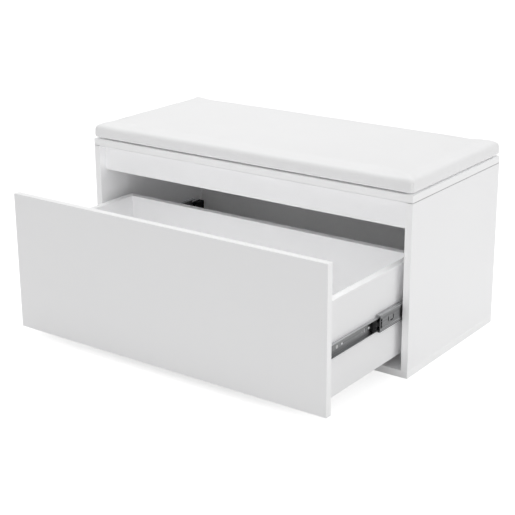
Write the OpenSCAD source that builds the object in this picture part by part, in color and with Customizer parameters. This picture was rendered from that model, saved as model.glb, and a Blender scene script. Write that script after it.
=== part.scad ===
// Entryway bench: a coated-board carcass with one wide inset drawer on ball-bearing
// slides, push-to-open units behind the slides, and a padded lift-off seat cushion.
// Frame: the origin is the centre of the carcass footprint on the floor, +X is to the
// right seen from the front, +Y points to the back and +Z points up.
// The drawer stands partly open in the rest pose.

/* [Carcass] */
// Width over the side panels
bench_w = 800; // [620:10:1000]
// Depth from the front edges to the rear edges
bench_d = 365; // [350:5:480]
// Height from the floor to the surface of the top panel
carcass_h = 370; // [330:5:480]
// Thickness of every coated board
board_t = 15; // [14:1:19]
// Height of the front rail under the top panel
rail_h = 57; // [45:1:80]
// Push travel left between the closed drawer front and the rail
push_gap = 3; // [2:0.5:5]
// Thickness of the back panel
back_t = 3; // [2.5:0.5:6]
// Distance from the rear edge of the carcass to the back panel
back_inset = 8; // [6:1:14]
// Depth of the grooves that hold the thin panels
groove_depth = 7; // [4:0.5:8]

/* [Drawer] */
// Opening of the drawer in the rest pose
open_rest = 262.5; // [180:0.5:270]
// Gap between the drawer front and the side panels
front_side_gap = 1.5; // [1:0.5:3]
// Gap between the drawer front and the bottom panel
front_low_gap = 1.5; // [1:0.5:4]
// How far the drawer front reaches above the lower edge of the rail
front_overlap = 11; // [6:1:16]
// Height of the drawer sides and of the drawer back
drawer_h = 187; // [140:1:200]
// Height of the drawer box above the bottom panel
drawer_low_gap = 26.5; // [18:0.5:34]
// Space between the closed drawer box and the back panel
rear_clear = 3.5; // [2:0.5:8]
// Thickness of the drawer bottom
drawer_bottom_t = 4; // [3:0.5:6]
// Height of the drawer bottom above the lower edge of the drawer sides
drawer_bottom_lift = 10; // [8:1:16]

/* [Slides] */
// Thickness of the slide, which fills the space beside the drawer box
slide_t = 12.7; // [12.7:0.1:14]
// Height of the slide's centre above the lower edge of the drawer sides
slide_lift = 94.5; // [60:0.5:110]
// Half height of the cabinet member
cabinet_half = 22.6; // [22.6:0.1:24]
// Sheet thickness of the cabinet member
cabinet_t = 1.2; // [1:0.1:1.4]
// Sheet thickness of the intermediate and drawer members
member_t = 1; // [0.8:0.1:1.1]
// Diameter of the outer balls
outer_ball_d = 4; // [3.6:0.1:4.2]
// Diameter of the inner balls
inner_ball_d = 3.2; // [2.8:0.1:3.4]
// Free play of the balls in their tracks on each side
ball_play = 0.1; // [0.05:0.05:0.2]
// Share of the drawer's travel that the intermediate member makes
slide_share = 0.366; // [0.3:0.002:0.4]
// Length of the outer ball cage
outer_cage_len = 150; // [100:5:160]
// Length of the inner ball cage
inner_cage_len = 96; // [60:2:100]

/* [Push-to-open unit] */
// Length of the spring housing behind the cabinet member
push_len = 30; // [24:1:40]
// Share of the drawer's travel that the plunger makes
plunger_share = 0.06; // [0.04:0.01:0.06]

/* [Fasteners] */
// Diameter of the wooden dowels
dowel_d = 8; // [6:1:8]
// Length of the wooden dowels
dowel_len = 30; // [25:1:35]
// Diameter of the cam locks
cam_d = 15; // [12:1:15]
// Distance from a board's end to the centre of its cam lock
cam_reach = 34; // [24:1:34]
// Diameter of the slide screws
screw_d = 3.5; // [3:0.5:4]
// Length of the slide screws
screw_len = 13; // [10:1:13]

/* [Cushion] */
// How far the cushion's sides stand out past the top panel
cushion_proud = 1; // [0:0.5:4]
// Thickness of the cushion, pads left out
cushion_t = 29; // [24:1:60]
// Radius of the cushion's corners seen from above
cushion_corner_r = 12; // [6:1:30]
// Thickness of the cushion's base board
base_t = 6; // [4:1:9]
// Thickness of the cover sheet
cover_t = 1; // [0.8:0.1:1.5]
// Width of the cover's hem under the base board
hem_w = 30; // [20:1:45]
// Thickness of one half of a hook-and-loop pair
pad_t = 1.5; // [1:0.1:2.5]

/* [Hidden] */
$fn = 48;

// Colours of the real finishes
white_board = [0.93, 0.93, 0.93];
edge_white = [0.96, 0.96, 0.96];
beech = [0.80, 0.66, 0.46];
zinc = [0.72, 0.73, 0.75];
black_plastic = [0.07, 0.07, 0.07];
white_leather = [0.95, 0.95, 0.95];
foam_tone = [0.95, 0.90, 0.70];

// Carcass places, measured from the carcass's front plane
half_w = bench_w / 2;
inner_half = half_w - board_t;
mid_board = half_w - board_t / 2;
top_z = carcass_h - board_t;
rail_y = board_t + push_gap;
rail_z = top_z - rail_h;
back_y = bench_d - back_inset - back_t;
groove_play = 0.2;
over = 1;

// Drawer places
front_half = inner_half - front_side_gap;
front_z0 = board_t + front_low_gap;
front_z1 = rail_z + front_overlap;
box_half = inner_half - slide_t;
box_len = back_y - rear_clear - rail_y;
box_y0 = board_t - open_rest;
box_y1 = box_y0 + box_len;
box_z0 = board_t + drawer_low_gap;
box_z1 = box_z0 + drawer_h;
floor_z = box_z0 + drawer_bottom_lift;

// Slide places: u is the distance from the drawer side towards the side panel
slide_z = box_z0 + slide_lift;
length_step = 50;
slide_len = floor((box_len - push_len) / length_step) * length_step;
slide_y0 = rail_y;
slide_y1 = slide_y0 + slide_len;
intermediate_shift = open_rest * slide_share;
intermediate_y0 = slide_y0 - intermediate_shift;
intermediate_y1 = intermediate_y0 + slide_len;
member_setback = 2;
drawer_member_short = 5;
member_y0 = box_y0 + member_setback;
member_len = slide_len - drawer_member_short;
member_y1 = member_y0 + member_len;
intermediate_half = cabinet_half - cabinet_t - outer_ball_d - 2 * ball_play;
drawer_member_half = intermediate_half - member_t - inner_ball_d - 2 * ball_play;
outer_ball_v = intermediate_half + ball_play + outer_ball_d / 2;
inner_ball_v = drawer_member_half + ball_play + inner_ball_d / 2;
cage_t = 0.4;
cage_gap = 0.35;
web_u = slide_t - cabinet_t;
outer_cage_u = web_u - cage_gap - cage_t;
intermediate_u = outer_cage_u - cage_gap - member_t;
web_recess = 0.8;
nose_strip = 2.4;
inner_cage_u = intermediate_u - web_recess - cage_gap - cage_t;
outer_cage_mid = (slide_y0 + intermediate_y1) / 2;
inner_cage_mid = (intermediate_y0 + member_y1) / 2;
ball_count = 6;
hole_play = 0.05;

// Push-to-open unit
closing_travel = open_rest + push_gap;
plunger_gap = 0.3;
plunger_shut_y = member_y1 + closing_travel + plunger_gap;
plunger_y = plunger_shut_y - plunger_share * closing_travel;
plunger_r = 2.4;
plunger_u = 4.2;
push_y0 = slide_y1 + push_gap * slide_share + 0.5;
push_y1 = push_y0 + push_len;
push_screw_dz = 7.5;

// Fastener places
fit_front = 50;
fit_rear = 62;
dowel_from_cam = 36;
dowel_shallow = 10;
thread_d = 5;
thread_len = 11;
bolt_hole_d = 8;
cam_deep = 12;
cap_d = 17;
cap_t = 1.2;
drawer_fit = 32;
cabinet_screw_steps = [35, slide_len / 2 + 13, slide_len - 41];
cabinet_slot_steps = [22, 54, 118, 150, 196, 240];
drawer_screw_steps = [31.5, member_len - 71.5];
lever_step = 153.5;
// The slot between the lever's rivet and the rear screw keeps its share of that space
drawer_slot_steps = [lever_step + 0.479 * (drawer_screw_steps[1] - lever_step), member_len - 45];
intermediate_slot_steps = [96, 0.533 * slide_len, slide_len - 76];
screw_head_d = 7;

// Cushion places
cushion_z0 = carcass_h + 2 * pad_t;
cushion_z1 = cushion_z0 + cushion_t;
cushion_half_x = half_w + cushion_proud;
cushion_half_y = bench_d / 2 + cushion_proud;
pad_size = [50, 20];
pad_from_edge = [70, 42];

// Moves from the carcass's front plane to the origin under its centre
module from_front() translate([0, -bench_d / 2, 0]) children();

// A box between two corners
module block(low, high) translate(low) cube(high - low);

// A round bar or hole along one axis, from a start point
module along_x(start, d, length, d2 = -1) translate(start) rotate([0, 90, 0])
    cylinder(d1 = d, d2 = d2 < 0 ? d : d2, h = length);
module along_y(start, d, length) translate(start) rotate([-90, 0, 0]) cylinder(d = d, h = length);
module along_z(start, d, length) translate(start) cylinder(d = d, h = length);

// Both sides of the bench
module both_sides() for (side = [0, 1]) mirror([side, 0, 0]) children();

// ---------------------------------------------------------------- joinery
// y places of the cam joints and dowels in the side panels
cam_ys = [fit_front, bench_d - fit_rear];
dowel_ys = [fit_front + dowel_from_cam, bench_d - fit_rear - dowel_from_cam];
rail_mid_y = rail_y + board_t / 2;
rail_mid_z = rail_z + rail_h / 2;
rail_dowel_dz = rail_h / 2 - 12;

// Dowel with chamfered ends, along +Z from its lower end
module dowel() {
    taper = 1;
    cylinder(d1 = dowel_d - 2 * taper, d2 = dowel_d, h = taper);
    translate([0, 0, taper]) cylinder(d = dowel_d, h = dowel_len - 2 * taper);
    translate([0, 0, dowel_len - taper]) cylinder(d1 = dowel_d, d2 = dowel_d - 2 * taper, h = taper);
}

// Hole for a dowel that starts dowel_shallow below the joint plane z = 0
module dowel_hole() translate([0, 0, -dowel_shallow - 0.5])
    cylinder(d = dowel_d + 2 * hole_play, h = dowel_len + 1);

// Cam bolt along +Z: its thread is below the joint plane z = 0
module cam_bolt() {
    collar_t = 2;
    neck_d = 5;
    head_d = 7;
    head_t = 3;
    translate([0, 0, -thread_len]) cylinder(d = thread_d, h = thread_len);
    cylinder(d = head_d, h = collar_t);
    translate([0, 0, collar_t]) cylinder(d = neck_d, h = cam_reach - head_t - collar_t);
    translate([0, 0, cam_reach - head_t]) cylinder(d = head_d, h = head_t);
}

// Cut for the bolt's thread in one board
module thread_hole() translate([0, 0, -thread_len - 0.5])
    cylinder(d = thread_d + 2 * hole_play, h = thread_len + over);

// Cut for the bolt in the board that holds the cam lock
module bolt_hole() cylinder(d = bolt_hole_d, h = cam_reach);

// Cam lock along -Z from its visible face at z = 0; the bolt enters along -X
module cam_lock() difference() {
    translate([0, 0, -cam_deep]) cylinder(d = cam_d - 0.2, h = cam_deep - 0.2);
    translate([-cam_d, 0, -board_t / 2]) rotate([0, 90, 0]) cylinder(d = bolt_hole_d, h = cam_d + 4);
    for (a = [0, 90]) rotate([0, 0, a]) translate([-3, -0.6, -2.2]) cube([6, 1.2, 3]);
}

// Cut for a cam lock, along -Z from the board's face
module cam_hole() translate([0, 0, -cam_deep - 0.2]) cylinder(d = cam_d, h = cam_deep + over);

// Joint planes of the side panels: children point into the side panel
module side_ends(ys) both_sides() for (y = ys) {
    translate([mid_board, y, top_z]) mirror([0, 0, 1]) children();
    translate([mid_board, y, board_t]) children();
}

// Joint planes of the rail: children point into the rail
module rail_ends(zs) both_sides() for (z = zs) translate([inner_half, rail_mid_y, z])
    rotate([0, -90, 0]) children();

// Joint planes of the drawer front: children point into the drawer sides
drawer_cam_zs = [box_z0 + drawer_fit, box_z1 - drawer_fit];
drawer_dowel_zs = [slide_z - 22, slide_z + 22];
module drawer_side_ends(zs) both_sides() for (z = zs)
    translate([box_half - board_t / 2, box_y0, z]) rotate([-90, 0, 0]) children();

// Places of the cam locks' visible faces
module side_cam_places() both_sides() for (y = cam_ys) {
    translate([inner_half, y, top_z - cam_reach]) rotate([0, -90, 0]) children();
    translate([inner_half, y, board_t + cam_reach]) mirror([0, 0, 1]) rotate([0, -90, 0]) children();
}
module rail_cam_places() both_sides() translate([inner_half - cam_reach, rail_y + board_t, rail_mid_z])
    rotate([-90, 0, 0]) mirror([1, 0, 0]) children();
module drawer_cam_places() both_sides() for (z = drawer_cam_zs)
    translate([box_half - board_t, box_y0 + cam_reach, z]) rotate([0, -90, 0]) rotate([0, 0, -90])
        mirror([1, 0, 0]) children();

module back_groove() block(
    [-inner_half - groove_depth, back_y - groove_play / 2, board_t - groove_depth],
    [inner_half + groove_depth, back_y + back_t + groove_play / 2, top_z + groove_depth]);

// ---------------------------------------------------------------- carcass
module top_panel() color(white_board) from_front() difference() {
    block([-half_w, 0, top_z], [half_w, bench_d, carcass_h]);
    back_groove();
    side_ends(cam_ys) thread_hole();
    side_ends(dowel_ys) dowel_hole();
}

module bottom_panel() color(white_board) from_front() difference() {
    block([-half_w, 0, 0], [half_w, bench_d, board_t]);
    back_groove();
    side_ends(cam_ys) thread_hole();
    side_ends(dowel_ys) dowel_hole();
}

module side_panel() difference() {
    block([inner_half, 0, board_t], [half_w, bench_d, top_z]);
    back_groove();
    side_ends(cam_ys) bolt_hole();
    side_ends(dowel_ys) dowel_hole();
    side_cam_places() cam_hole();
    rail_ends([rail_mid_z]) thread_hole();
    rail_ends([rail_mid_z - rail_dowel_dz, rail_mid_z + rail_dowel_dz]) dowel_hole();
    slide_side(1) cabinet_screw_places() screw_hole();
    slide_side(1) push_screw_places() screw_hole();
}
module left_side_panel() color(white_board) from_front() mirror([1, 0, 0]) side_panel();
module right_side_panel() color(white_board) from_front() side_panel();

module front_rail() color(white_board) from_front() difference() {
    block([-inner_half, rail_y, rail_z], [inner_half, rail_y + board_t, top_z]);
    rail_ends([rail_mid_z]) bolt_hole();
    rail_ends([rail_mid_z - rail_dowel_dz, rail_mid_z + rail_dowel_dz]) dowel_hole();
    rail_cam_places() cam_hole();
}

module back_panel() color(white_board) from_front() block(
    [-inner_half - groove_depth + 0.5, back_y, board_t - groove_depth + 0.5],
    [inner_half + groove_depth - 0.5, back_y + back_t, top_z + groove_depth - 0.5]);

module carcass_dowels() color(beech) from_front() {
    side_ends(dowel_ys) translate([0, 0, -dowel_shallow]) dowel();
    rail_ends([rail_mid_z - rail_dowel_dz, rail_mid_z + rail_dowel_dz])
        translate([0, 0, -dowel_shallow]) dowel();
}

module carcass_cam_bolts() color(zinc) from_front() {
    side_ends(cam_ys) cam_bolt();
    rail_ends([rail_mid_z]) cam_bolt();
}

module carcass_cam_locks() color(zinc) from_front() {
    side_cam_places() mirror([1, 0, 0]) cam_lock();
    rail_cam_places() cam_lock();
}

// Plastic caps over the cam locks in the side panels
module cam_lock_caps() color(edge_white) from_front() side_cam_places() {
    cylinder(d1 = cap_d, d2 = cap_d - 1.6, h = cap_t);
}

// ---------------------------------------------------------------- drawer
module drawer_groove() block(
    [-box_half + board_t - groove_depth, box_y0 - groove_depth, floor_z - groove_play / 2],
    [box_half - board_t + groove_depth, box_y1 - board_t + groove_depth,
        floor_z + drawer_bottom_t + groove_play / 2]);

module drawer_front() color(white_board) from_front() difference() {
    block([-front_half, -open_rest, front_z0], [front_half, box_y0, front_z1]);
    drawer_groove();
    drawer_side_ends(drawer_cam_zs) thread_hole();
    drawer_side_ends(drawer_dowel_zs) dowel_hole();
}

module drawer_side() difference() {
    block([box_half - board_t, box_y0, box_z0], [box_half, box_y1, box_z1]);
    drawer_groove();
    drawer_side_ends(drawer_cam_zs) bolt_hole();
    drawer_side_ends(drawer_dowel_zs) dowel_hole();
    drawer_cam_places() cam_hole();
    back_screw_places() back_screw_hole();
    slide_side(1) drawer_screw_places() screw_hole();
}
module drawer_left_side() color(white_board) from_front() mirror([1, 0, 0]) drawer_side();
module drawer_right_side() color(white_board) from_front() drawer_side();

module drawer_back() color(white_board) from_front() difference() {
    block([-box_half + board_t, box_y1 - board_t, box_z0], [box_half - board_t, box_y1, box_z1]);
    drawer_groove();
    back_screw_places() back_screw_hole();
}

module drawer_bottom() color(white_board) from_front() block(
    [-box_half + board_t - groove_depth + 0.5, box_y0 - groove_depth + 0.5, floor_z],
    [box_half - board_t + groove_depth - 0.5, box_y1 - board_t + groove_depth - 0.5,
        floor_z + drawer_bottom_t]);

module drawer_dowels() color(beech) from_front() drawer_side_ends(drawer_dowel_zs)
    translate([0, 0, -dowel_shallow]) dowel();

module drawer_cam_bolts() color(zinc) from_front() drawer_side_ends(drawer_cam_zs) cam_bolt();

module drawer_cam_locks() color(zinc) from_front() drawer_cam_places() cam_lock();

// Long screws that go through the drawer sides into the drawer back
back_screw_d = 4.5;
back_screw_len = 45;
back_screw_head = 9;
back_screw_tip = 4;
head_sink = 0.1;
module back_screw_places() both_sides() for (z = drawer_cam_zs)
    translate([box_half, box_y1 - board_t / 2, z]) rotate([0, -90, 0]) children();
module back_screw_hole() {
    cone = (back_screw_head - back_screw_d) / 2;
    translate([0, 0, -0.01]) cylinder(d = back_screw_head + 2 * hole_play, h = head_sink + 0.01);
    translate([0, 0, head_sink])
        cylinder(d1 = back_screw_head + 2 * hole_play, d2 = back_screw_d + 2 * hole_play, h = cone);
    cylinder(d = back_screw_d + 2 * hole_play, h = back_screw_len + over);
}
module back_screw() difference() {
    cone = (back_screw_head - back_screw_d) / 2;
    union() {
        translate([0, 0, head_sink]) cylinder(d1 = back_screw_head, d2 = back_screw_d, h = cone);
        translate([0, 0, cone]) cylinder(d = back_screw_d, h = back_screw_len - cone - back_screw_tip);
        translate([0, 0, back_screw_len - back_screw_tip])
            cylinder(d1 = back_screw_d, d2 = 1, h = back_screw_tip);
    }
    translate([0, 0, -1]) cylinder(d = 3.4, h = 3.2, $fn = 6);
}
module drawer_back_screws() color(zinc) from_front() back_screw_places() back_screw();

// ---------------------------------------------------------------- slides
// Children are in slide coordinates: x is u, z is measured from the slide's centre
module slide_side(side) mirror([side < 0 ? 1 : 0, 0, 0]) translate([box_half, 0, slide_z]) children();

// Extrusion along Y of a profile whose axes are u and z
module rolled(y0, y1) translate([0, y1, 0]) rotate([90, 0, 0]) linear_extrude(y1 - y0) children();

// Extrusion along u of a profile whose axes are y and z
module stamped(u0, u1) translate([u0, 0, 0]) rotate([90, 0, 90]) linear_extrude(u1 - u0) children();

// Points of a rounded corner of a sheet's centre line
function corner(c, r, from, to, steps = 5) = [for (i = [0:steps])
    let (a = from + (to - from) * i / steps) c + r * [cos(a), sin(a)]];
function unit(v) = v / norm(v);
function turned_left(v) = [-v[1], v[0]];
function flipped(points) = [for (i = [len(points) - 1:-1:0]) points[i]];
function mirrored_half(points) = concat(points, [for (p = flipped(points)) [p[0], -p[1]]]);
function shifted(path, d) = [for (i = [0:len(path) - 1])
    let (a = path[max(i - 1, 0)], b = path[min(i + 1, len(path) - 1)]) path[i] + d * turned_left(unit(b - a))];

// Sheet of thickness t bent along a centre line
module sheet(path, t) polygon(concat(shifted(path, t / 2), flipped(shifted(path, -t / 2))));

// Rounded bar outline, made only of squares and circles
module rounded_rect(size, r) {
    square([size[0] - 2 * r, size[1]], center = true);
    square([size[0], size[1] - 2 * r], center = true);
    for (x = [-1, 1], y = [-1, 1]) translate([x * (size[0] / 2 - r), y * (size[1] / 2 - r)]) circle(r);
}

// Slot through the web, with round ends
module web_slot(y, z, length, height) stamped(-over, slide_t - 0.1) translate([y, z])
    rounded_rect([length, height], min(length, height) / 2 - 0.05);

module cabinet_profile() {
    bend = 1.4;
    mid_u = slide_t - cabinet_t / 2;
    mid_v = cabinet_half - cabinet_t / 2;
    lip_u = 2.6 + cabinet_t / 2;
    lip = 1.9;
    sheet(mirrored_half(concat([[lip_u, mid_v - lip]],
        corner([lip_u + 0.9, mid_v - 0.9], 0.9, 180, 90),
        corner([mid_u - bend, mid_v - bend], bend, 90, 0))), cabinet_t);
}

module intermediate_profile() {
    bend = 1.2;
    mid_u = intermediate_u + member_t / 2;
    low_u = mid_u - web_recess;
    mid_v = intermediate_half - member_t / 2;
    sheet(mirrored_half(concat([[2.4, mid_v]],
        corner([mid_u - bend, mid_v - bend], bend, 90, 0),
        [[mid_u, mid_v - 5.4], [low_u, mid_v - 6.6]])), member_t);
}

module drawer_profile() {
    bend = 1;
    mid_u = member_t / 2;
    mid_v = drawer_member_half - member_t / 2;
    end_u = inner_cage_u - 0.4;
    sheet(mirrored_half(concat([[end_u, mid_v]],
        corner([mid_u + bend, mid_v - bend], bend, 90, 180))), member_t);
}

// Flat screw along -X from the sheet's face at the origin
module screw() difference() {
    cone = member_t - 0.05;
    union() {
        translate([-cone, 0, 0]) rotate([0, 90, 0]) cylinder(d1 = screw_d, d2 = screw_head_d, h = cone);
        translate([-screw_len + 2, 0, 0]) rotate([0, 90, 0]) cylinder(d = screw_d, h = screw_len - 2 - cone);
        translate([-screw_len, 0, 0]) rotate([0, 90, 0]) cylinder(d1 = 0.8, d2 = screw_d, h = 2);
    }
    for (a = [0, 90]) rotate([a, 0, 0]) translate([-0.7, -1.6, -0.35]) cube([2, 3.2, 0.7]);
}
module screw_hole() {
    translate([-member_t, 0, 0]) rotate([0, 90, 0])
        cylinder(d1 = screw_d + 0.1, d2 = screw_head_d + 0.2, h = member_t + 0.01);
    translate([-screw_len - 0.5, 0, 0]) rotate([0, 90, 0])
        cylinder(d = screw_d + 2 * hole_play, h = screw_len + 0.5);
}
// Cabinet screws point towards the side panel, drawer screws into the drawer side
module cabinet_screw_places() for (step = cabinet_screw_steps)
    translate([web_u, slide_y0 + step, 0]) mirror([1, 0, 0]) children();
module drawer_screw_places() for (step = drawer_screw_steps)
    translate([member_t, member_y0 + step, 0]) children();
module push_screw_places() for (z = [-1, 1])
    translate([web_u, push_y0 + push_len / 2, z * push_screw_dz]) mirror([1, 0, 0]) children();

module cabinet_member() difference() {
    rolled(slide_y0, slide_y1) cabinet_profile();
    cabinet_screw_places() screw_hole();
    for (step = cabinet_slot_steps) web_slot(slide_y0 + step, 0, 6, 4.4);
    web_slot(slide_y0 + 85, 0, 22, 7);
}
module left_cabinet_member() color(zinc) from_front() slide_side(-1) cabinet_member();
module right_cabinet_member() color(zinc) from_front() slide_side(1) cabinet_member();

module intermediate_member() difference() {
    rolled(intermediate_y0, intermediate_y1) intermediate_profile();
    // Scalloped window behind a narrow strip at the nose
    stamped(intermediate_u - 2, slide_t) translate([intermediate_y0 + nose_strip, 0]) union() {
        translate([0, -9.5]) square([3, 19]);
        for (z = [-6.6, 0, 6.6]) translate([3, z]) circle(2.9);
    }
    // Lanced detents behind the nose, and again at the rear
    web_slot(intermediate_y0 + 31.5, 1.2, 3, 9.4);
    web_slot(intermediate_y0 + 43, -3.6, 10, 2.8);
    web_slot(intermediate_y0 + 49.4, 1, 3, 10);
    for (step = intermediate_slot_steps) web_slot(intermediate_y0 + step, 0, 10, 5);
    web_slot(intermediate_y1 - 30, 0, 2.2, 8.4);
}
module left_intermediate_member() color(zinc) from_front() slide_side(-1) intermediate_member();
module right_intermediate_member() color(zinc) from_front() slide_side(1) intermediate_member();

lever_y = member_y0 + lever_step;
rivet_d = 4;
module drawer_member() {
    difference() {
        rolled(member_y0, member_y1) drawer_profile();
        drawer_screw_places() screw_hole();
        web_slot(member_y0 + 49, 0.4, 6.4, 4.6);
        web_slot(member_y0 + 118, -0.3, 3, 3);
        web_slot(member_y0 + 127, 0, 3, 9.4);
        web_slot(member_y0 + 141.5, -0.3, 7.6, 5);
        for (step = drawer_slot_steps) web_slot(member_y0 + step, 0, 8, 4.6);
    }
    // Rivet that the release lever turns on
    along_x([0.5, lever_y, 0], rivet_d, inner_cage_u - 2.2);
    // Bent tab that meets the push plunger
    block([0.5, member_y1 - 1.2, -6], [inner_cage_u - 0.9, member_y1, 6]);
}
module left_drawer_member() color(zinc) from_front() slide_side(-1) drawer_member();
module right_drawer_member() color(zinc) from_front() slide_side(1) drawer_member();

// Ball cages: a thin channel with one row of holes in each flange
module cage(u, half, flange_u, y_mid, length, ball_u, ball_d) difference() {
    rolled(y_mid - length / 2, y_mid + length / 2) difference() {
        translate([flange_u, -half]) square([u + cage_t - flange_u, 2 * half]);
        translate([flange_u - over, -half + cage_t]) square([u - flange_u + over, 2 * (half - cage_t)]);
    }
    ball_places(y_mid, length, ball_u) translate([0, 0, -half - over])
        cylinder(d = ball_d + 2 * hole_play, h = 2 * (half + over));
    // Long windows that lighten the cage's web
    stamped(u - over, u + over + cage_t) for (i = [-1, 0, 1]) translate([y_mid + i * length / 3.4, 0])
        rounded_rect([length / 5, half], 3);
}
module ball_places(y_mid, length, ball_u) for (i = [0:ball_count - 1])
    translate([ball_u, y_mid + (i - (ball_count - 1) / 2) * (length - 12) / (ball_count - 1), 0]) children();
module ball_rows(y_mid, length, ball_u, ball_v, ball_d) ball_places(y_mid, length, ball_u)
    for (z = [-1, 1]) translate([0, 0, z * ball_v]) sphere(d = ball_d, $fn = 24);

outer_ball_u = 7;
inner_ball_u = 4.8;
module outer_cage() cage(outer_cage_u, outer_ball_v + cage_t / 2, outer_ball_u - 2.6, outer_cage_mid,
    outer_cage_len, outer_ball_u, outer_ball_d);
module inner_cage() cage(inner_cage_u, inner_ball_v + cage_t / 2, inner_ball_u - 2.2, inner_cage_mid,
    inner_cage_len, inner_ball_u, inner_ball_d);
module outer_balls() ball_rows(outer_cage_mid, outer_cage_len, outer_ball_u, outer_ball_v, outer_ball_d);
module inner_balls() ball_rows(inner_cage_mid, inner_cage_len, inner_ball_u, inner_ball_v, inner_ball_d);
module left_outer_cage() color(zinc) from_front() slide_side(-1) outer_cage();
module right_outer_cage() color(zinc) from_front() slide_side(1) outer_cage();
module left_outer_balls() color(zinc) from_front() slide_side(-1) outer_balls();
module right_outer_balls() color(zinc) from_front() slide_side(1) outer_balls();
module left_inner_cage() color(zinc) from_front() slide_side(-1) inner_cage();
module right_inner_cage() color(zinc) from_front() slide_side(1) inner_cage();
module left_inner_balls() color(zinc) from_front() slide_side(-1) inner_balls();
module right_inner_balls() color(zinc) from_front() slide_side(1) inner_balls();

// Release lever: a finger block over the rivet with an arm that reaches to the rear
module release_lever() translate([0, lever_y, 0]) {
    block_len = 14;
    block_h = 2 * (drawer_member_half - member_t) - 1.6;
    arm_len = 20;
    face_u = inner_cage_u - 0.8;
    difference() {
        stamped(member_t + 0.3, face_u) {
            rounded_rect([block_len, block_h], 1.5);
            translate([block_len / 2 + arm_len / 2 - 2, 0]) rounded_rect([arm_len, 8], 3);
            translate([block_len / 2 + arm_len - 5, 0]) rounded_rect([6, 13], 2.5);
        }
        along_x([0, 0, 0], rivet_d + 2 * hole_play, inner_cage_u - 1.3);
    }
    // Grip ribs on the block's face
    for (y = [-4.5, -1.5, 1.5, 4.5]) translate([face_u - 0.1, y - 0.5, -block_h / 2 + 2])
        cube([0.5, 1, block_h - 4]);
}
module left_release_lever() color(black_plastic) from_front() slide_side(-1) release_lever();
module right_release_lever() color(black_plastic) from_front() slide_side(1) release_lever();

module cabinet_member_screws() color(zinc) from_front() for (side = [-1, 1]) slide_side(side) {
    cabinet_screw_places() screw();
    push_screw_places() screw();
}
module drawer_member_screws() color(zinc) from_front() for (side = [-1, 1]) slide_side(side)
    drawer_screw_places() screw();

// ---------------------------------------------------------------- push-to-open units
push_u0 = 0.8;
push_h = 24;
bore_play = 0.08;
module push_housing() difference() {
    stamped(push_u0, slide_t) translate([(push_y0 + push_y1) / 2, 0])
        rounded_rect([push_len, push_h], 3);
    along_y([plunger_u, push_y0 - over, 0], 2 * (plunger_r + bore_play), push_len - 2);
    push_screw_places() screw_hole();
}
module left_push_housing() color(black_plastic) from_front() slide_side(-1) push_housing();
module right_push_housing() color(black_plastic) from_front() slide_side(1) push_housing();

// Plunger rod with a round nose; its tail stays in the housing's bore
module push_plunger() {
    tail_y = push_y0 + 6;
    along_y([plunger_u, plunger_y + plunger_r, 0], 2 * plunger_r, tail_y - plunger_y - plunger_r);
    translate([plunger_u, plunger_y + plunger_r, 0]) sphere(r = plunger_r);
}
module left_push_plunger() color(black_plastic) from_front() slide_side(-1) push_plunger();
module right_push_plunger() color(black_plastic) from_front() slide_side(1) push_plunger();

cushion_mid_y = bench_d / 2;
soft_edge = 7;
foam_gap = 0.2;
base_inset = 6;
foam_wrap = 3;
foam_z0 = cushion_z0 + cover_t + base_t;

// ---------------------------------------------------------------- cushion
// Upright slab with round corners, centred on the seat and grown or shrunk all round
module seat_slab(grow, z0, z1, r) translate([0, cushion_mid_y, z0]) linear_extrude(z1 - z0)
    rounded_rect(2 * [cushion_half_x + grow, cushion_half_y + grow], r, $fn = 32);

module base_slab() seat_slab(-base_inset, cushion_z0 + cover_t, foam_z0, cushion_corner_r - 1);

// Base board with round corners and slits for the staples
module cushion_base() color(beech) from_front() difference() {
    base_slab();
    staple_places() staple_legs(0.1);
}

// Space inside the cover, with a sloped upper edge
module foam_form() hull() {
    seat_slab(-cover_t - foam_wrap, cushion_z0 + cover_t, foam_z0, cushion_corner_r);
    seat_slab(-cover_t - foam_gap, foam_z0, cushion_z1 - soft_edge - cover_t, cushion_corner_r);
    seat_slab(-soft_edge - cover_t, cushion_z1 - soft_edge, cushion_z1 - cover_t - foam_gap,
        cushion_corner_r);
}

// Foam that fills the cover and wraps the edge of the base board
module cushion_foam() color(foam_tone) from_front() difference() {
    foam_form();
    base_slab();
}

// Cover: top, sides and a hem folded under the base board, with an open middle
module cushion_cover() color(white_leather) from_front() difference() {
    hull() {
        seat_slab(-2, cushion_z0, cushion_z0 + 1, cushion_corner_r);
        seat_slab(0, cushion_z0 + 4, cushion_z1 - soft_edge, cushion_corner_r);
        seat_slab(-2, cushion_z1 - soft_edge, cushion_z1 - soft_edge / 3, cushion_corner_r);
        seat_slab(-soft_edge, cushion_z1 - soft_edge, cushion_z1, cushion_corner_r);
    }
    foam_form();
    seat_slab(-hem_w, cushion_z0 - over, cushion_z0 + cover_t + over, cushion_corner_r);
    staple_places() staple_legs(0.1);
}

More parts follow.
